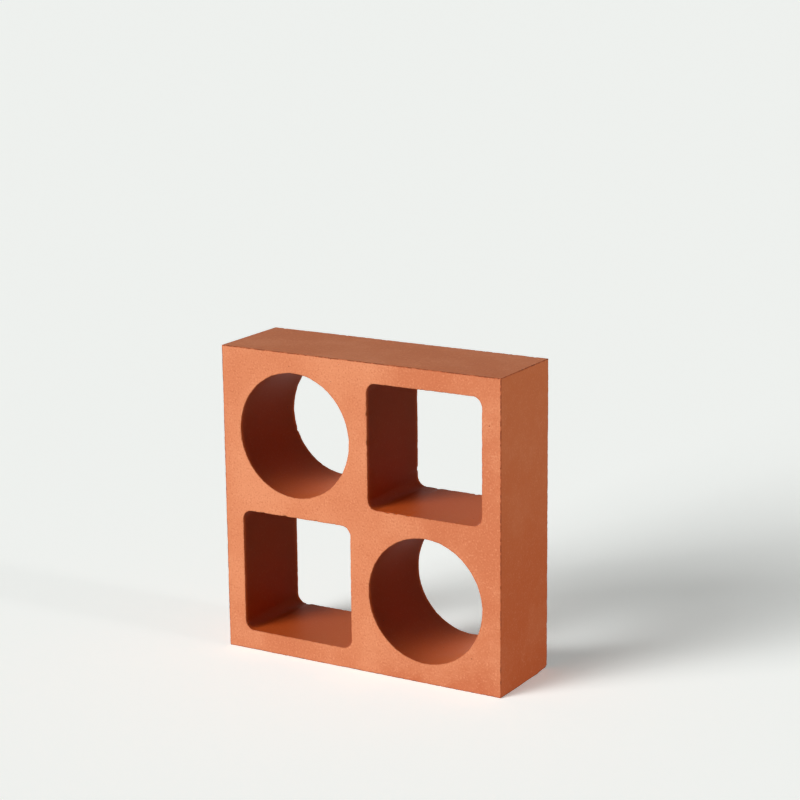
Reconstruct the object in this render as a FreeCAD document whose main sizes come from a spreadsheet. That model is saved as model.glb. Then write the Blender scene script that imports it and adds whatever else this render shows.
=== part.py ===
"""Breeze block: one square screen block, cast in pigmented concrete.

Four openings go right through it, two by two: round at the upper left and lower right, square with
rounded corners at the upper right and lower left. An even frame runs round the outside, and a cross of
two equal ribs parts the openings. The openings are widest at the front face and narrow slightly towards
the back, so that the cores of the mould draw out. It stands on its lower bed face, as it does in a wall.

Frame of the part: millimetres, +Z up, the front face towards -Y, and the origin at the middle of the
lower bed face.
"""

import FreeCAD
import Part
import os

import Sketcher
from FreeCAD import Vector

# Driving dimensions, in millimetres unless it says otherwise: alias, value, and what it is.
DIMENSIONS = [
    ("side", 195.0, "width and height of the block"),
    ("depth", 60.0, "front face to back face, the thickness of the wall"),
    ("frame_wall", 12.7, "concrete between an opening and the outside, in the front face"),
    ("centre_rib", 13.0, "concrete between two openings, in the front face"),
    ("corner_radius", 6.2, "inner corners of the square openings, in the front face"),
    ("core_draft", 0.42, "degrees by which the openings' walls slope inwards towards the back"),
    ("arris_radius", 0.5, "softened edge round the faces, the corners and each opening"),
]

# What follows from them: an opening's width in the front face, and how far its middle lies from the
# block's middle, both sideways and up or down.
OPENING_WIDTH = "(dims.side - 2 * dims.frame_wall - dims.centre_rib) / 2"
OPENING_OFFSET = "(dims.side - 2 * dims.frame_wall + dims.centre_rib) / 4"

SKETCH_ORIGIN = (-1, 1)  # a sketch's own origin: its geometry number and point number
TOLERANCE = 1e-4


def make_sheet(doc):
    """The spreadsheet that holds the driving dimensions."""
    sheet = doc.addObject("Spreadsheet::Sheet", "dims")
    for row, (alias, value, meaning) in enumerate(DIMENSIONS, start=1):
        sheet.set(f"A{row}", alias)
        sheet.set(f"B{row}", str(value))
        sheet.set(f"C{row}", meaning)
        sheet.setAlias(f"B{row}", alias)
    doc.recompute()
    return sheet


def front_sketch(body, name):
    """An empty sketch in the plane of the front face, its origin at the middle of that face."""
    planes = [plane for plane in body.Origin.OriginFeatures if plane.Role == "XZ_Plane"]
    sketch = body.newObject("Sketcher::SketchObject", name)
    sketch.AttachmentSupport = [(planes[0], "")]
    sketch.MapMode = "FlatFace"
    sketch.setExpression("AttachmentOffset.Base.y", "dims.side / 2")
    sketch.setExpression("AttachmentOffset.Base.z", "dims.depth / 2")
    return sketch


def drive(sketch, constraint, name, expression):
    """Adds a constraint to the sketch, names it and ties its value to the sheet."""
    index = sketch.addConstraint(constraint)
    sketch.renameConstraint(index, name)
    sketch.setExpression(f"Constraints.{name}", expression)


def square_profile(sketch, width, width_expression, middle):
    """A square of four joined lines, held by two opposite corners about its middle point."""
    corners = [Vector(0, 0, 0), Vector(width, 0, 0), Vector(width, width, 0), Vector(0, width, 0)]
    lines = []
    for start, end in zip(corners, corners[1:] + corners[:1]):
        lines.append(sketch.addGeometry(Part.LineSegment(start, end), False))
    for line, following in zip(lines, lines[1:] + lines[:1]):
        sketch.addConstraint(Sketcher.Constraint("Coincident", line, 2, following, 1))
    lower, right, upper, left = lines
    for line in (lower, upper):
        sketch.addConstraint(Sketcher.Constraint("Horizontal", line))
    for line in (right, left):
        sketch.addConstraint(Sketcher.Constraint("Vertical", line))
    drive(sketch, Sketcher.Constraint("DistanceX", lower, 1, lower, 2, width), "width", width_expression)
    drive(sketch, Sketcher.Constraint("DistanceY", right, 1, right, 2, width), "height", width_expression)
    sketch.addConstraint(Sketcher.Constraint("Symmetric", lower, 1, upper, 1, *middle))


def slab(body, side):
    """The block with no openings: its square outline, padded from the front face to the back face."""
    sketch = front_sketch(body, "FaceOutline")
    square_profile(sketch, side, "dims.side", SKETCH_ORIGIN)
    pad = body.newObject("PartDesign::Pad", "Slab")
    pad.Profile = sketch
    pad.Reversed = True
    pad.setExpression("Length", "dims.depth")
    return pad


def round_opening(body, width, offset):
    """The profile of the round opening at the upper left."""
    sketch = front_sketch(body, "RoundOpening")
    centre = Vector(-offset, offset, 0)
    circle = sketch.addGeometry(Part.Circle(centre, Vector(0, 0, 1), width / 2), False)
    middle = (circle, 3)
    drive(sketch, Sketcher.Constraint("Diameter", circle, width), "width", OPENING_WIDTH)
    drive(sketch, Sketcher.Constraint("DistanceX", *middle, *SKETCH_ORIGIN, offset), "left", OPENING_OFFSET)
    drive(sketch, Sketcher.Constraint("DistanceY", *SKETCH_ORIGIN, *middle, offset), "up", OPENING_OFFSET)
    return sketch


def square_opening(body, width, offset):
    """The profile of the square opening at the upper right, its corners still sharp."""
    sketch = front_sketch(body, "SquareOpening")
    middle = (sketch.addGeometry(Part.Point(Vector(offset, offset, 0)), True), 1)
    square_profile(sketch, width, OPENING_WIDTH, middle)
    drive(sketch, Sketcher.Constraint("DistanceX", *SKETCH_ORIGIN, *middle, offset), "right", OPENING_OFFSET)
    drive(sketch, Sketcher.Constraint("DistanceY", *SKETCH_ORIGIN, *middle, offset), "up", OPENING_OFFSET)
    return sketch


def through_pocket(doc, body, sketch):
    """Cuts the sketch's profile through the whole depth, narrowing by the draft, and checks that it cut."""
    before = body.Shape.Volume
    pocket = body.newObject("PartDesign::Pocket", sketch.Name + "Cut")
    pocket.Profile = sketch
    pocket.setExpression("Length", "dims.depth")
    pocket.setExpression("TaperAngle", "-dims.core_draft")
    doc.recompute()
    if not pocket.Shape.Volume < before - TOLERANCE:
        raise RuntimeError(f"{pocket.Name} removed nothing")
    return pocket


def opposite_pair(doc, body, cuts, axis_sketch):
    """Repeats the cuts half a turn round the block's middle, to the two opposite quarters."""
    pattern = body.newObject("PartDesign::PolarPattern", "OppositePair")
    pattern.Originals = cuts
    pattern.Axis = (axis_sketch, ["N_Axis"])
    pattern.Angle = 360
    pattern.Occurrences = 2
    body.Tip = pattern
    doc.recompute()
    return pattern


def lies_in_face(edge):
    """True for an edge in the plane of the front or back face. The others run from one to the other."""
    return edge.BoundBox.YLength < TOLERANCE


def on_the_outside(edge, side):
    """True for an edge at the block's left or right side."""
    return abs(edge.BoundBox.Center.x) > side / 2 - TOLERANCE


def is_round(face):
    """True for the wall of a round opening, a cone, or a cylinder where there is no draft."""
    return face.Surface.TypeId in ("Part::GeomCone", "Part::GeomCylinder")


def fillet(doc, body, name, wanted, radius_expression):
    """Rounds every edge of the body so far that is wanted."""
    base = body.Tip
    chosen = [f"Edge{n}" for n, edge in enumerate(base.Shape.Edges, start=1) if wanted(edge)]
    feature = body.newObject("PartDesign::Fillet", name)
    feature.Base = (base, chosen)
    feature.setExpression("Radius", radius_expression)
    body.Tip = feature
    doc.recompute()
    return feature


def make_block(doc, sheet):
    """The whole block, as one body."""
    body = doc.addObject("PartDesign::Body", "Block")
    body.Label = "block"
    side = sheet.side
    width = (side - 2 * sheet.frame_wall - sheet.centre_rib) / 2
    offset = (width + sheet.centre_rib) / 2
    slab(body, side)
    doc.recompute()

    round_sketch = round_opening(body, width, offset)
    square_sketch = square_opening(body, width, offset)
    cuts = [through_pocket(doc, body, sketch) for sketch in (round_sketch, square_sketch)]
    opposite_pair(doc, body, cuts, round_sketch)

    def opening_corner(edge):
        seam = any(is_round(face) for face in body.Tip.Shape.ancestorsOfType(edge, Part.Face))
        return not lies_in_face(edge) and not seam and not on_the_outside(edge, side)

    def arris(edge):
        return lies_in_face(edge) or on_the_outside(edge, side)

    fillet(doc, body, "OpeningCorners", opening_corner, "dims.corner_radius")
    fillet(doc, body, "Arrises", arris, "dims.arris_radius")
    return body


def check(doc, bodies):
    """Stops before anything is written if a feature failed or a solid is not sound."""
    for obj in doc.Objects:
        if "Invalid" in obj.State or "Error" in obj.State:
            raise RuntimeError(f"{obj.Name} failed: {obj.State}")
    for body in bodies:
        shape = body.Shape
        if shape.isNull() or not shape.isValid() or len(shape.Solids) != 1:
            raise RuntimeError(f"{body.Label} is not one valid solid")


def main():
    doc = FreeCAD.newDocument("BreezeBlock")
    sheet = make_sheet(doc)
    bodies = [make_block(doc, sheet)]
    doc.recompute()
    check(doc, bodies)
    os.makedirs("parts", exist_ok=True)
    for body in bodies:
        body.Shape.exportStep(os.path.join("parts", body.Label + ".step"))
        box = body.Shape.optimalBoundingBox()
        size = f"{box.XLength:.2f} x {box.YLength:.2f} x {box.ZLength:.2f} mm"
        print(f"{body.Label}: {size}, {body.Shape.Volume / 1000:.1f} cm3, {len(body.Shape.Faces)} faces")


main()
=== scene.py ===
import math

import bpy
import numpy as np
from mathutils import Matrix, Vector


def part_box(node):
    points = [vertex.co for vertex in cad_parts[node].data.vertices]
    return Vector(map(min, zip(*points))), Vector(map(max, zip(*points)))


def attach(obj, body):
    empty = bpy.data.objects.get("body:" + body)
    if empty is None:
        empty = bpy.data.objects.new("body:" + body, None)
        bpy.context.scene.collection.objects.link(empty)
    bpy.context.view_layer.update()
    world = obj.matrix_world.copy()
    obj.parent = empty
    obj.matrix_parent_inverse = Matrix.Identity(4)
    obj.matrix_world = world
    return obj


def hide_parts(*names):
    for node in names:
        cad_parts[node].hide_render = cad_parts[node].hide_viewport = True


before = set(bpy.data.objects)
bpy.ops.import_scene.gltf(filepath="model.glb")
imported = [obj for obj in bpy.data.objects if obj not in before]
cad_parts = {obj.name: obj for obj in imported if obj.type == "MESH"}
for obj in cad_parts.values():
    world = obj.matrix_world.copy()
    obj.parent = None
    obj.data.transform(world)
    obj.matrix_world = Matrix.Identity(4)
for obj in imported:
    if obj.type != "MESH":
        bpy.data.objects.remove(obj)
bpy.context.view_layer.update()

low, high = (np.array(corner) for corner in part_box("block"))
middle = (low + high) / 2
halfSize = (high - low) / 2
blockDepth = high[1] - low[1]
print("frame loaded: block", [round(float(size) * 1000, 1) for size in high - low], "mm")


# The casting. Lengths in metres.
casting = {
    "frameWall": 0.0127,             # between an opening and the outside, in the front face
    "centreRib": 0.0130,             # between two openings, in the front face
    "coreDraft": 0.42,               # degrees by which the openings' walls slope inwards towards the back
    "cornerRadius": 0.0062,          # inner corners of the square openings
    "stepsPerSide": 120,             # mesh steps along one side of a quarter
    "arrisSteps": [0, 0.00014, 0.00032, 0.00058, 0.00095, 0.0015],   # rows beside every arris
    "faceRows": 3,                   # rows across the rest of a face
    "depthRows": 5,                  # rows across the rest of the depth
    "arris": 0.00024,                # radius of a crisp arris
    "arrisWear": 0.00024,            # how much rounder a worn stretch is
    "shortWearShare": 0.5,           # how strong the short waves of wear are beside the long ones
    "wearLevels": (-0.3, 1.1),       # where the wear field starts to wear and wears fully
    "crumble": 0.00011,              # depth of the crumbled grains along an arris
    "fineShare": 0.6,                # how deep the fine grains go beside the coarse ones
    "fineLevels": (0.15, 0.9),       # where the grain fields start to crumble and crumble fully
    "coarseLevels": (0.35, 0.95),
    "arrisReach": (0.0002, 0.0013),  # nearness to an arris is 1 up to here, and 0 from there on
    "nickRagged": 0.28,              # how ragged a nick's rim is
    "nickWaves": 0.8,                # length of the waves in its rim, as a share of its size
    "nickLevels": (0.3, 0.75),       # share of its size where a nick is full, and where it ends
    "fullBreak": 0.0004,             # a break this deep gets the darkest painted shade and the most grit
    "unevenness": 0.00007,           # slow waves left in the faces by the mould
}

# Small breaks along the arrises: place across, along the depth and up from the block's middle, size, depth.
nicks = {
    "square opening, upper right, back arris": [
        (0.0066, 0.030, 0.0817, 0.0026, 0.0012), (0.0066, 0.030, 0.0180, 0.0024, 0.0010),
        (0.0221, 0.030, 0.0066, 0.0026, 0.0010), (0.0486, 0.030, 0.0066, 0.0024, 0.0009),
    ],
    "square opening, upper right, front arris": [
        (0.0200, -0.030, 0.0066, 0.0022, 0.0008), (0.0262, -0.030, 0.0066, 0.0020, 0.0006),
        (0.0345, -0.030, 0.0066, 0.0022, 0.0007), (0.0066, -0.030, 0.0480, 0.0020, 0.0006),
        (0.0066, -0.030, 0.0655, 0.0018, 0.0006),
    ],
    "square opening, lower left, front arris": [
        (-0.0692, -0.030, -0.0066, 0.0016, 0.0003), (-0.0532, -0.030, -0.0066, 0.0022, 0.0005),
        (-0.0308, -0.030, -0.0066, 0.0018, 0.0004), (-0.0178, -0.030, -0.0066, 0.0016, 0.0003),
    ],
    "square opening, lower left, back arris": [(-0.0768, 0.030, -0.0846, 0.0028, 0.0013)],
    "round opening, upper left, back arris": [(-0.0819, 0.030, 0.0316, 0.0022, 0.0010)],
    "upper right arris of the end": [
        (0.0975, -0.0215, 0.0975, 0.0022, 0.0008), (0.0975, -0.0040, 0.0975, 0.0028, 0.0011),
        (0.0975, 0.0040, 0.0975, 0.0024, 0.0010), (0.0975, 0.0105, 0.0975, 0.0022, 0.0008),
    ],
    "top, back arris": [(0.0883, 0.030, 0.0975, 0.0020, 0.0004)],
    "foot, back right corner": [(0.0975, 0.030, -0.0975, 0.0040, 0.0016)],
}


# Smooth random fields: about how long the waves are in metres, and the seed of the draw.
fields = {
    "fineGrains": (0.0024, 11),
    "coarseGrains": (0.0052, 12),
    "longWear": (0.030, 21),
    "shortWear": (0.009, 22),
    "unevenness": (0.045, 31),
    "patches": (0.05, 41),
    "nickSeed": 13,
    "waves": 20,                     # waves in each field
    "stretch": (0.75, 1.35),         # how many of a wave fit in the length, at fewest and at most
}


# A smooth random field from -1 to 1: cosine waves of about one length in seeded directions, added up, divided
# by the root of their number and clipped.
def waveField(points, length, seed):
    rng = np.random.default_rng(seed)
    waves = fields["waves"]
    direction = unit(rng.normal(size=(waves, 3)))
    stretch = rng.uniform(*fields["stretch"], waves)
    phase = rng.uniform(0, 2 * math.pi, waves)
    angle = points @ (direction * (2 * math.pi / length * stretch)[:, None]).T + phase
    return np.clip(np.cos(angle).sum(axis=1) / math.sqrt(waves), -1, 1)


# 0 below the first level, 1 above the second, and a smooth step between them.
def smoothStep(value, start, end):
    share = np.clip((value - start) / (end - start), 0, 1)
    return share * share * (3 - 2 * share)


openingHalf = (high[0] - low[0] - 2 * casting["frameWall"] - casting["centreRib"]) / 4
openingShift = openingHalf + casting["centreRib"] / 2
coreSlope = math.tan(math.radians(casting["coreDraft"]))


# Half an opening's width at a depth behind the front face.
def halfAt(depth):
    return openingHalf - coreSlope * depth


# Vectors made one long. Those of no length stay as they are.
def unit(vectors):
    return vectors / np.maximum(np.linalg.norm(vectors, axis=-1, keepdims=True), 1e-9)


# Outline of a round opening about its own middle. Share runs from 0 to 1 along each of four quarters,
# and a quarter starts 45 degrees before its side. Gives the points and the normals into the concrete.
def roundOutline(quarter, share, half):
    angle = (quarter + share - 0.5) * math.pi / 2
    angle = np.broadcast_to(angle, np.broadcast_shapes(share.shape, half.shape))
    normal = np.stack([np.cos(angle), np.sin(angle)], axis=-1)
    return normal * half[..., None], normal


# Outline of a square opening with rounded corners, by its own length: half a corner arc, a straight side
# and half an arc, turned to the quarter's side.
def squareOutline(quarter, share, half):
    radius = casting["cornerRadius"]
    straight = 2 * (half - radius)
    arc = radius * math.pi / 4
    run = share * (straight + 2 * arc) - arc
    over = np.clip(run - straight, 0, None) + np.clip(run, None, 0)
    turn = over / radius
    along = np.clip(run, 0, straight) - straight / 2 + radius * np.sin(turn)
    outward = half - radius + radius * np.cos(turn)
    side = np.broadcast_to(quarter * math.pi / 2, turn.shape)
    across = np.stack([np.cos(side), np.sin(side)], axis=-1)
    forward = np.stack([-np.sin(side), np.cos(side)], axis=-1)
    point = across * outward[..., None] + forward * along[..., None]
    normal = across * np.cos(turn)[..., None] + forward * np.sin(turn)[..., None]
    return point, normal


# How far points lie from a square outline with rounded corners, into the concrete, and the direction: the
# distance from a smaller sharp square, less the corners' radius.
def squareDistance(point, half):
    core = (half - casting["cornerRadius"])[:, None]
    rest = point - np.clip(point, -core, core)
    return np.linalg.norm(rest, axis=-1) - casting["cornerRadius"], unit(rest)


# The same for a circle: the distance from its middle less half its width, straight outwards.
def roundDistance(point, half):
    return np.linalg.norm(point, axis=-1) - half, unit(point)


# Faces of a grid of points: every four neighbours, wound the same way.
def gridFaces(rows, columns, first, flip):
    start = first + (np.arange(rows - 1)[:, None] * columns + np.arange(columns - 1)[None, :]).ravel()
    corners = np.stack([start, start + 1, start + columns + 1, start + columns], axis=1)
    return corners[:, ::-1] if flip else corners


# Depths of the rows between the two faces: close together beside both arrises, and even between them.
def depthLevels(near):
    between = np.linspace(near[-1], blockDepth - near[-1], casting["depthRows"] + 1)[1:-1]
    return np.concatenate([near[1:], between, blockDepth - near[:0:-1]])


# One quarter of the casting, sharp: each column starts on the quarter's border, crosses the front face to
# the opening, runs down its wall and crosses the back face to the border again.
def quarterSheet(outline, sideways, upwards):
    steps = casting["stepsPerSide"]
    near = np.array(casting["arrisSteps"])
    crossing = np.linspace(1, 0, casting["faceRows"] + 1)          # share of the way back to the border
    wall = depthLevels(near)
    back = np.concatenate([crossing, np.zeros(len(near) - 1)])
    inset = np.concatenate([np.full(len(crossing), near[-1]), near[-2::-1]])
    level = np.concatenate([0 * back, wall, 0 * back + blockDepth])[:, None]
    back = np.concatenate([back, 0 * wall, back[::-1]])[:, None]
    inset = np.concatenate([inset, 0 * wall, inset[::-1]])[:, None]

    inner = -(openingHalf + casting["centreRib"] / 2)
    outer = openingHalf + casting["frameWall"] - near[-1]
    column = np.arange(4 * steps + 1) % (4 * steps)
    quarter, share = column // steps, (column % steps) / steps
    edge = inner + (outer - inner) * share
    reverse = inner + outer - edge
    atOuter, atInner = np.full_like(edge, outer), np.full_like(edge, inner)
    border = np.stack([np.choose(quarter, [atOuter, reverse, atInner, edge]),
                       np.choose(quarter, [edge, atOuter, reverse, atInner])], axis=-1)
    opening, normal = outline(quarter[None], share[None], halfAt(level))
    flat = (opening + normal * inset[..., None]) * (1 - back[..., None]) + border[None] * back[..., None]
    points = np.empty(flat.shape[:2] + (3,))
    points[..., 0] = middle[0] + sideways * (flat[..., 0] + openingShift)
    points[..., 1] = low[1] + level
    points[..., 2] = middle[2] + upwards * (flat[..., 1] + openingShift)
    return points, sideways * upwards < 0


# The outside of the casting, sharp: a band that starts a little way in on the front face, turns round the
# outer arris, runs over the depth and ends on the back face. Rows that would pass a corner stop at it.
def outerBand():
    steps = casting["stepsPerSide"]
    near = np.array(casting["arrisSteps"])
    half = halfSize[0]
    wall = depthLevels(near)
    upper = np.concatenate([np.linspace(0, half - near[-1], steps + 1)[:-1], half - near[::-1]])
    side = np.concatenate([-upper[:0:-1], upper])
    inset = np.concatenate([near[::-1], 0 * wall, near])
    level = np.concatenate([0 * near, wall, 0 * near + blockDepth])
    keep = np.concatenate([[True], (np.diff(inset) != 0) | (np.diff(level) != 0)])
    inset, level = inset[keep], level[keep]
    along = np.clip(side[None, :], -(half - inset)[:, None], (half - inset)[:, None])
    outward = np.broadcast_to((half - inset)[:, None], along.shape)
    sheets = []
    for quarter in range(4):
        cosine, sine = round(math.cos(quarter * math.pi / 2)), round(math.sin(quarter * math.pi / 2))
        points = np.empty(along.shape + (3,))
        points[..., 0] = middle[0] + outward * cosine - along * sine
        points[..., 1] = low[1] + level[:, None]
        points[..., 2] = middle[2] + outward * sine + along * cosine
        sheets.append((points, True))
    return sheets


weldStep = 2e-6   # metres within which two points are one


# Merges the sheets' common points. A face with two corners in one point becomes a triangle, and one with
# more is dropped.
def weld(sheets):
    points, faces, first = [], [], 0
    for sheet, flip in sheets:
        rows, columns = sheet.shape[:2]
        points.append(sheet.reshape(-1, 3))
        faces.append(gridFaces(rows, columns, first, flip))
        first += rows * columns
    points, faces = np.concatenate(points), np.concatenate(faces)
    key = np.round(points / weldStep).astype(np.int64)
    _, kept, place = np.unique(key, axis=0, return_index=True, return_inverse=True)
    place = place.reshape(-1)
    faces = place[faces]
    same = faces == np.roll(faces, -1, axis=1)
    fours = faces[~same.any(axis=1)]
    single = same.sum(axis=1) == 1
    threes = [np.delete(faces[single & same[:, breakAndShade]], breakAndShade, axis=1) for breakAndShade in range(4)]
    return points[kept], fours.tolist() + np.concatenate(threes).tolist()


# How far a point sinks below the sharp shape along an arris: crumbled grains everywhere, and the nicks. A
# nick is deepest within a share of its size round its middle, and runs out to nothing at its ragged rim.
def breakDepth(points, near):
    fine = smoothStep(waveField(points, *fields["fineGrains"]), *casting["fineLevels"])
    coarse = smoothStep(waveField(points, *fields["coarseGrains"]), *casting["coarseLevels"])
    depth = casting["crumble"] * (casting["fineShare"] * fine + coarse) * near
    for places in nicks.values():
        for x, y, z, size, sink in places:
            away = np.linalg.norm(points - (middle + (x, y, z)), axis=1)
            rim = waveField(points, size * casting["nickWaves"], fields["nickSeed"])
            nick = 1 - smoothStep(away / size + casting["nickRagged"] * rim, *casting["nickLevels"])
            depth = np.maximum(depth, sink * nick * near)
    return depth


# The skin of the casting, and the painted shade on it, as shares.
skin = {
    "top": 0.65,                     # pale cement skin on the top, where the front and back faces have 1
    "end": 0.27,                     # on the ends and the foot
    "opening": 0.0,                  # in the openings
    "shadeRight": 0.55,               # painted shade: deeper colour in the right half of a face
    "shadeFoot": 0.40,                # painted shade at the foot of a face
    "shadeEnd": 0.75,                 # painted shade at the foot of an end, for the shadowed floor mirrored there
    "richOpening": 0.15,             # in the openings
    "shadeCorner": 0.65,              # and painted shadow, more of it in their lower left corners
    "shadeTop": 0.08,                 # painted shade towards the right of the top
    "wander": 0.12,                  # how far the patches' borders wander
    "rightLevels": (0.05, 0.45),     # where the right half starts and is full, as a share of the half width
    "footLevels": (0.6, 0.95),       # and the foot
    "cornerLevels": (0.3, 1.7),      # and the lower left of an opening, by its own half width
    "faceEdge": 0.0006,              # a face's skin ends this far past its arris, in metres
    "topEdge": 0.0001,               # and the top's skin this far below its own
    "arrisShadeOutside": 1.3,             # painted shade along the outer arrises
    "arrisShadeOpening": 0.25,            # and along the openings' arrises
    "arrisShadeLevels": (0.7, 0.97),      # nearness to an arris where the painted shade starts and is full
}


# The colour of each point as shares: pale cement skin, deeper colour that is partly rich pigment and partly
# painted shade, and painted shade along the arrises. The painted shade rises smoothly over shares of the half
# width, moved about by a slow wave.
def colourShares(sharp, inFace, quarter, fromFace, byOpening, near):
    onFace = 1 - smoothStep(fromFace, 0, skin["faceEdge"])
    onTop = sharp[:, 2] > high[2] - skin["topEdge"]
    outside = np.where(onTop, skin["top"], skin["end"])
    pale = onFace + (1 - onFace) * np.where(byOpening, skin["opening"], outside)

    across = inFace / halfSize[[0, 2]] + skin["wander"] * waveField(sharp, *fields["patches"])[:, None]
    # painted shade: deeper towards the right and the foot of a face
    rich = skin["shadeRight"] * smoothStep(across[:, 0], *skin["rightLevels"])
    rich += skin["shadeFoot"] * smoothStep(-across[:, 1], *skin["footLevels"])
    # painted shade towards the right of the top and the foot of the ends
    paintedShadeSide = np.where(onTop, skin["shadeTop"] * smoothStep(across[:, 0], 0, 1),
                        skin["shadeEnd"] * smoothStep(-across[:, 1], -1, 1))
    leftAndDown = -(inFace - quarter * openingShift).sum(axis=1) / openingHalf
    # rich pigment in the openings, and painted shadow in their lower left corners
    pigmentAndShadeInside = skin["richOpening"] + skin["shadeCorner"] * smoothStep(leftAndDown, *skin["cornerLevels"])
    rich = rich * onFace + (1 - onFace) * np.where(byOpening, pigmentAndShadeInside, paintedShadeSide)

    # painted shade along the arrises, stronger outside than in the openings
    stain = smoothStep(near, *skin["arrisShadeLevels"])
    stain *= np.where(byOpening, skin["arrisShadeOpening"], skin["arrisShadeOutside"])
    return pale, rich, stain


# The finished surface: every arris is rounded by its own radius, then the breaks and waves sink in.
# Across an arris, a point within the radius of both faces goes to the circle that touches them.
def finishSurface(sharp):
    fromFace = np.minimum(sharp[:, 1] - low[1], high[1] - sharp[:, 1])
    inFace = sharp[:, [0, 2]] - middle[[0, 2]]
    quarter = np.sign(inFace)
    isRound = quarter[:, 0] * quarter[:, 1] < 0
    fromCentre = np.abs(inFace) - openingShift
    half = halfAt(sharp[:, 1] - low[1])
    roundGap, roundWay = roundDistance(fromCentre, half)
    squareGap, squareWay = squareDistance(fromCentre, half)
    gap = np.where(isRound, roundGap, squareGap)
    way = np.where(isRound[:, None], roundWay, squareWay) * quarter
    fromOutside = halfSize[[0, 2]] - np.abs(inFace)
    byOpening = gap < fromOutside.min(axis=1)

    # how near the nearest arris is, from 0 to 1, by the second smallest distance from a surface
    sideways = np.where(byOpening, gap, fromOutside[:, 0])
    upright = np.where(byOpening, 1, fromOutside[:, 1])            # a metre is out of the way
    distances = np.sort(np.stack([fromFace, sideways, upright]), axis=0)
    near = 1 - smoothStep(distances[1], *casting["arrisReach"])

    wear = waveField(sharp, *fields["longWear"])
    wear += casting["shortWearShare"] * waveField(sharp, *fields["shortWear"])
    radius = casting["arris"] + casting["arrisWear"] * smoothStep(wear, *casting["wearLevels"])
    sink = breakDepth(sharp, near)
    sink += casting["unevenness"] * (0.5 + 0.5 * waveField(sharp, *fields["unevenness"])) * (1 - near)

    # beside an opening: distance from its wall, and from the front or back face
    pair = np.stack([np.maximum(gap, 0), fromFace], axis=1)
    centre = np.maximum(pair, radius[:, None])
    moved = centre + unit(pair - centre) * (radius - sink)[:, None] - pair
    inward = np.where(sharp[:, 1] < middle[1], 1.0, -1.0)
    besideOpening = sharp.copy()
    besideOpening[:, [0, 2]] += moved[:, :1] * way
    besideOpening[:, 1] += moved[:, 1] * inward

    # on the outside: a box with rounded edges
    core = np.clip(sharp - middle, -(halfSize - radius[:, None]), halfSize - radius[:, None])
    onOutside = middle + core + unit(sharp - middle - core) * (radius - sink)[:, None]

    finished = np.where(byOpening[:, None], besideOpening, onOutside)
    # how deep the breaks go: it roughens them and paints shade into them
    broken = np.clip(sink / casting["fullBreak"], 0, 1) * near
    return finished, broken, *colourShares(sharp, inFace, quarter, fromFace, byOpening, near)


# Puts points and faces into a mesh object at the origin, with smooth shading and named point attributes.
def makePiece(name, points, faces, **attributes):
    mesh = bpy.data.meshes.new(name)
    mesh.from_pydata(points.tolist(), [], faces)
    mesh.polygons.foreach_set("use_smooth", np.ones(len(mesh.polygons), dtype=bool))
    for label, values in attributes.items():
        layer = mesh.attributes.new(label, "FLOAT", "POINT")
        layer.data.foreach_set("value", values.astype(np.float32))
    mesh.update()
    piece = bpy.data.objects.new(name, mesh)
    bpy.context.scene.collection.objects.link(piece)
    return piece


quarters = [(squareOutline, 1, 1), (squareOutline, -1, -1), (roundOutline, -1, 1), (roundOutline, 1, -1)]
sharpPoints, blockFaces = weld([quarterSheet(*quarter) for quarter in quarters] + outerBand())
blockPoints, broken, cementSkin, richness, stained = finishSurface(sharpPoints)
breezeBlock = makePiece("breezeBlock", blockPoints, blockFaces,
                        stained=stained, broken=broken, cementSkin=cementSkin, richness=richness)
print("casting made:", len(blockPoints), "points,", len(blockFaces), "faces")


# One socket of a material, with arithmetic that adds Math nodes.
class Wire:
    def __init__(self, tree, socket):
        self.tree, self.socket = tree, socket

    def node(self, kind, settings=None, sockets=None, output=0):
        made = self.tree.nodes.new(kind)
        for name, value in (settings or {}).items():
            setattr(made, name, value)
        for name, value in (sockets or {}).items():
            if isinstance(value, Wire):
                self.tree.links.new(value.socket, made.inputs[name])
            else:
                made.inputs[name].default_value = value
        return Wire(self.tree, made.outputs[output])

    # an attribute of the piece, as one number
    def attribute(self, name):
        return self.node("ShaderNodeAttribute", {"attribute_name": name}, output="Fac")

    # the same colour everywhere
    def colour(self, value):
        made = self.node("ShaderNodeRGB")
        made.socket.default_value = value
        return made

    def maths(self, operation, first, second):
        return self.node("ShaderNodeMath", {"operation": operation}, {0: first, 1: second})

    def __add__(self, other):
        return self.maths("ADD", self, other)

    def __radd__(self, other):
        return self.maths("ADD", other, self)

    def __sub__(self, other):
        return self.maths("SUBTRACT", self, other)

    def __rsub__(self, other):
        return self.maths("SUBTRACT", other, self)

    def __mul__(self, other):
        return self.maths("MULTIPLY", self, other)

    def __rmul__(self, other):
        return self.maths("MULTIPLY", other, self)

    # share of the way from one level to another, clamped to 0 and 1
    def between(self, start, end):
        return self.node("ShaderNodeMapRange", {"interpolation_type": "SMOOTHSTEP"},
                         {"Value": self, "From Min": start, "From Max": end})

    # grain of a given size in metres, from 0 to 1
    def grain(self, size, detail):
        return self.node("ShaderNodeTexNoise", None,
                         {"Vector": self, "Scale": 1 / size, "Detail": detail, "Roughness": 0.55})

    # this colour turned towards another by a share; a Mix node's colour sockets are found by number
    def towards(self, other, share):
        return self.node("ShaderNodeMix", {"data_type": "RGBA"}, {0: share, 6: self, 7: other}, output=2)


# A new material, its shader, and a wire to start its nodes from.
def newMaterial(name):
    material = bpy.data.materials.new(name)
    material.use_nodes = True
    tree = material.node_tree
    shader = tree.nodes["Principled BSDF"]
    return material, shader, Wire(tree, None)


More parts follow.
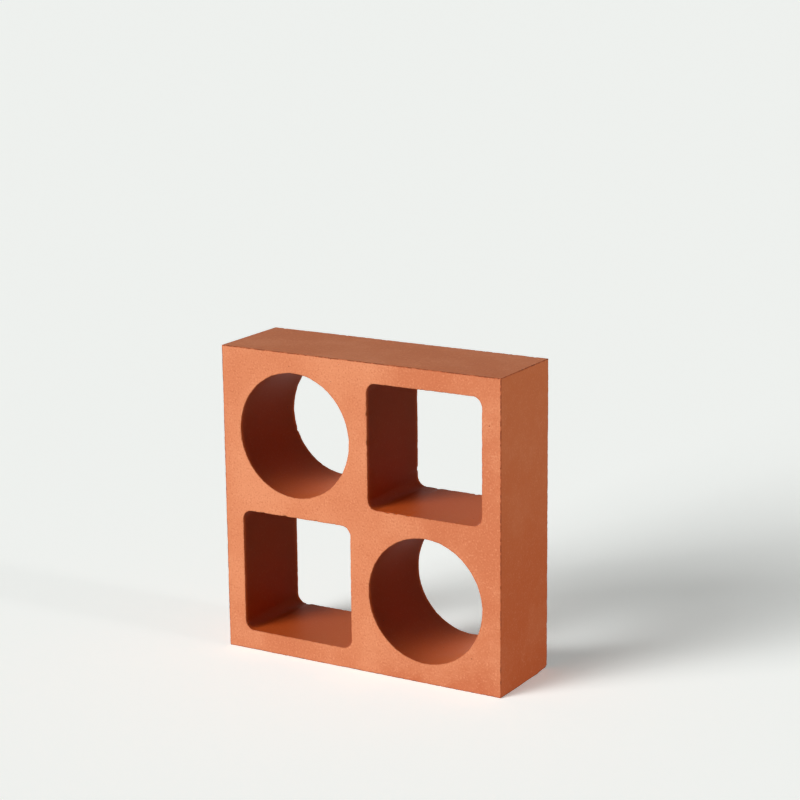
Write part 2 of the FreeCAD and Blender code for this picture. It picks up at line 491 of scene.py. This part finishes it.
# Pigmented concrete. Colours are linear red, green and blue; lengths in metres.
concrete = {
    "struck": (0.625, 0.217, 0.101, 1),        # the front and back faces
    "moulded": (0.500, 0.114, 0.028, 1),       # against the mould's cores and sides
    "pale": (0.740, 0.310, 0.160, 1),          # laitance where cement came to the face
    "deep": (0.490, 0.132, 0.055, 1),          # deeper colour in the struck faces: rich pigment, and painted shade
    "deepMoulded": (0.490, 0.072, 0.010, 1),   # and against the mould
    "dark": (0.200, 0.050, 0.022, 1),          # painted shade in pits and breaks, and along the arrises
    "cloud": (0.040, 3.0),                     # size of a grain, and its finer layers
    "mottle": (0.006, 4.0),
    "sand": (0.0012, 1.0),
    "serration": (0.0028, 2.0),
    "paleCloudLevels": (0.58, 0.90),           # where pale clouds start and are full
    "paleCloudRagged": 0.35,                   # how much the mottle breaks up their borders
    "paleCloudStrength": 0.35,
    "deepCloudLevels": (0.58, 0.92),
    "deepCloudRagged": 0.3,
    "deepCloudStrength": 0.30,
    "sandPatches": (0.35, 0.65),               # where in the mottle the sand shows least and most
    "sandCover": (0.45, 0.55),                 # how much of it shows least, and how much more at most
    "paleSandLevels": (0.52, 0.72),            # which grains of sand are pale
    "paleSandStrength": (0.10, 0.36),          # against the mould, and how much more where struck
    "deepSandLevels": (0.48, 0.28),            # which are deep
    "deepSandStrength": (0.12, 0.52),
    "teeth": (0.40, 0.62),                     # where the teeth of the painted arris shade start and are full
    "richArrisShade": (0.30, 0.70),                 # deeper colour in the painted arris shade, and how much more in its teeth
    "darkArrisShade": (0.25, 0.60),                 # and darkness
    "breakShade": 0.55,                         # how dark the painted shade in a break is
    "pitCell": 0.006,                          # one pit at most in a cell this wide
    "pitRare": (0.90, 0.93),                   # how few of the cells have one
    "pitWidth": (0.075, 0.045),                # its rim and its floor, as shares of a cell
    # how dark the painted shade in a pit is
    "pitShade": 0.8,
    "grit": (0.30, 0.70),                      # height of sand against the mould, and more where struck
    "mottleHeight": 0.6,                       # heights beside the sand's
    "pitHeight": 4.0,
    "breakHeight": 2.0,
    "roughness": (0.47, 0.16),                 # against the mould, and how much more where struck
    "sandRoughness": 0.10,                     # rougher on a pale grain
    "cloudRoughness": 0.06,                    # and smoother in a pale cloud
    "sheen": 0.06,                             # specular level
    "relief": 0.00030,                         # depth of the bump
    "bump": 0.5,                               # and its strength
}


# The first level, and the second more as a share grows from 0 to 1.
def rising(levels, share):
    return levels[0] + levels[1] * share


# The colours are laid over each other from the ground up: pigment with painted shade, clouds, sand, painted
# shade along the arrises, in breaks and in pits.
def castConcrete():
    material, shader, wire = newMaterial("castConcrete")
    place = wire.node("ShaderNodeTexCoord", output="Object")
    cloud = place.grain(*concrete["cloud"])
    mottle = place.grain(*concrete["mottle"])
    sand = place.grain(*concrete["sand"])
    teeth = place.grain(*concrete["serration"]).between(*concrete["teeth"])
    stain, breakAndShade = wire.attribute("stained"), wire.attribute("broken")
    struck, rich = wire.attribute("cementSkin"), wire.attribute("richness")

    colour = wire.colour(concrete["moulded"]).towards(concrete["struck"], struck)
    deep = wire.colour(concrete["deepMoulded"]).towards(concrete["deep"], struck)
    # deeper colour: rich pigment, and painted shade
    colour = colour.towards(deep, rich)

    paleCloud = (cloud + concrete["paleCloudRagged"] * mottle).between(*concrete["paleCloudLevels"])
    deepCloud = (1.0 - cloud + concrete["deepCloudRagged"] * mottle).between(*concrete["deepCloudLevels"])
    colour = colour.towards(concrete["pale"], paleCloud * struck * concrete["paleCloudStrength"])
    colour = colour.towards(concrete["deep"], deepCloud * struck * concrete["deepCloudStrength"])

    cover = rising(concrete["sandCover"], mottle.between(*concrete["sandPatches"]))
    paleSand = sand.between(*concrete["paleSandLevels"]) * cover
    deepSand = sand.between(*concrete["deepSandLevels"]) * cover
    colour = colour.towards(concrete["pale"], paleSand * rising(concrete["paleSandStrength"], struck))
    colour = colour.towards(concrete["deep"], deepSand * rising(concrete["deepSandStrength"], struck))

    # painted shade along the arrises, toothed as if crumbled
    colour = colour.towards(concrete["deepMoulded"], stain * rising(concrete["richArrisShade"], teeth))
    colour = colour.towards(concrete["dark"], stain * rising(concrete["darkArrisShade"], teeth))
    # painted shade in the breaks, darker the deeper they go
    colour = colour.towards(concrete["dark"], breakAndShade * concrete["breakShade"])

    cells = {"Vector": place, "Scale": 1 / concrete["pitCell"], "Randomness": 1.0}
    fromPit = wire.node("ShaderNodeTexVoronoi", {"feature": "F1"}, cells, output="Distance")
    draw = wire.node("ShaderNodeTexVoronoi", {"feature": "F1"}, cells, output="Color")
    chosen = wire.node("ShaderNodeSeparateColor", None, {"Color": draw}).between(*concrete["pitRare"])
    pitHollowAndShade = fromPit.between(*concrete["pitWidth"]) * chosen
    # painted shade in the pits
    colour = colour.towards(concrete["dark"], pitHollowAndShade * concrete["pitShade"])

    height = (sand + mottle * concrete["mottleHeight"]) * rising(concrete["grit"], struck)
    height = height - pitHollowAndShade * concrete["pitHeight"] - breakAndShade * sand * concrete["breakHeight"]
    bump = wire.node("ShaderNodeBump", None,
                     {"Height": height, "Strength": concrete["bump"], "Distance": concrete["relief"]})
    roughness = rising(concrete["roughness"], struck)
    roughness = roughness + concrete["sandRoughness"] * sand - concrete["cloudRoughness"] * cloud
    links = material.node_tree.links
    links.new(colour.socket, shader.inputs["Base Color"])
    links.new(roughness.socket, shader.inputs["Roughness"])
    links.new(bump.socket, shader.inputs["Normal"])
    shader.inputs["Specular IOR Level"].default_value = concrete["sheen"]
    return material


breezeBlock.data.materials.append(castConcrete())
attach(breezeBlock, "root")
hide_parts("block")
print("concrete made")


# The room: a pale floor, a low soft key from the left front, and a low card of light from the right.
# Angles in degrees: azimuth from the front towards the right, and how wide a lamp looks from the block.
room = {
    "floorSize": 60.0,
    "floorColour": (0.960, 0.988, 0.966, 1),
    "floorBounce": (0.25, 0.25, 0.245, 1),     # what it throws back at the block
    "floorGlow": (0.282, 0.286, 0.277, 1),     # lifts its shadows, for the eye alone
    "floorRoughness": 0.9,
    "keyAzimuth": -26.6,
    "keyElevation": 21.2,
    "keyTilt": -24.7,                          # the key's rows of lamps are turned by this
    "keyAcross": 3,                            # lamps side by side, and one above another
    "keyUp": 2,
    "stepAcross": 11.0,                        # between their middles
    "stepUp": 4.6,
    "lampWidth": 21.5,
    "keyStrength": 4.44,                       # of all its lamps together
    "card": {"azimuth": 90.0, "elevation": 3.5, "angle": 5.0, "strength": 1.84},
    "skyStrength": 0.058,                      # light from all round
    "backdrop": (0.871, 0.888, 0.863, 1),
}


# A far lamp as wide as its angle. It is turned to shine from its azimuth and elevation.
def addSun(name, azimuth, elevation, angle, strength):
    lamp = bpy.data.lights.new(name, "SUN")
    lamp.energy, lamp.angle = strength, math.radians(angle)
    sun = bpy.data.objects.new(name, lamp)
    sun.rotation_euler = (math.radians(90 - elevation), 0, math.radians(azimuth))
    bpy.context.scene.collection.objects.link(sun)


# The key is a grid of lamps about its middle, turned by its tilt.
keyLamps = room["keyAcross"] * room["keyUp"]
keyCosine, keySine = math.cos(math.radians(room["keyTilt"])), math.sin(math.radians(room["keyTilt"]))
for number in range(keyLamps):
    across = (number % room["keyAcross"] - (room["keyAcross"] - 1) / 2) * room["stepAcross"]
    up = (number // room["keyAcross"] - (room["keyUp"] - 1) / 2) * room["stepUp"]
    addSun("key" + str(number + 1),
           room["keyAzimuth"] + across * keyCosine - up * keySine,
           room["keyElevation"] + across * keySine + up * keyCosine,
           room["lampWidth"], room["keyStrength"] / keyLamps)
addSun("card", **room["card"])


# 1 for what the eye sees, straight, mirrored in a surface or through one, and 0 for light on its way to the
# block: the largest of the three kinds of ray.
def seenRay(wire):
    straight, mirrored, through = (wire.node("ShaderNodeLightPath", output=kind)
                                   for kind in ("Is Camera Ray", "Is Glossy Ray", "Is Transmission Ray"))
    return wire.maths("MAXIMUM", straight, wire.maths("MAXIMUM", mirrored, through))


world = bpy.data.worlds.new("room")
bpy.context.scene.world = world
world.use_nodes = True
skyLight = room["skyStrength"] + (1 - room["skyStrength"]) * seenRay(Wire(world.node_tree, None))
backdrop = world.node_tree.nodes["Background"]
backdrop.inputs["Color"].default_value = room["backdrop"]
world.node_tree.links.new(skyLight.socket, backdrop.inputs["Strength"])

black = (0, 0, 0, 1)
reach = room["floorSize"] / 2
floorCorners = np.array([(-reach, -reach, low[2]), (reach, -reach, low[2]), (reach, reach, low[2]),
                         (-reach, reach, low[2])])
paleFloor = makePiece("paleFloor", floorCorners, [[0, 1, 2, 3]])
floorMaterial, floorShader, floorWire = newMaterial("paleFloor")
floorSeen = seenRay(floorWire)
floorColour = floorWire.colour(room["floorBounce"]).towards(room["floorColour"], floorSeen)
floorGlow = floorWire.colour(black).towards(room["floorGlow"], floorSeen)
floorMaterial.node_tree.links.new(floorColour.socket, floorShader.inputs["Base Color"])
floorMaterial.node_tree.links.new(floorGlow.socket, floorShader.inputs["Emission Color"])
floorShader.inputs["Emission Strength"].default_value = 1.0
floorShader.inputs["Roughness"].default_value = room["floorRoughness"]
floorShader.inputs["Specular IOR Level"].default_value = 0.0
paleFloor.data.materials.append(floorMaterial)
print("room made")


# The camera, in degrees, millimetres of lens and metres.
view = {
    "azimuth": 30.77,
    "elevation": 13.64,
    "roll": -0.595,
    "lens": 102.92,
    "place": (0.70116, -1.15732, 0.49303),
    "farthest": 100,             # metres that it sees
}
camera = bpy.data.objects.new("camera", bpy.data.cameras.new("camera"))
camera.data.lens = view["lens"]
camera.data.clip_end = view["farthest"]
camera.location = view["place"]
aim = (Matrix.Rotation(math.radians(view["azimuth"]), 3, "Z")
       @ Matrix.Rotation(math.radians(90 - view["elevation"]), 3, "X")
       @ Matrix.Rotation(math.radians(view["roll"]), 3, "Z"))
camera.rotation_euler = aim.to_euler()
bpy.context.scene.collection.objects.link(camera)
bpy.context.scene.camera = camera
bpy.context.scene.view_settings.view_transform = "Standard"
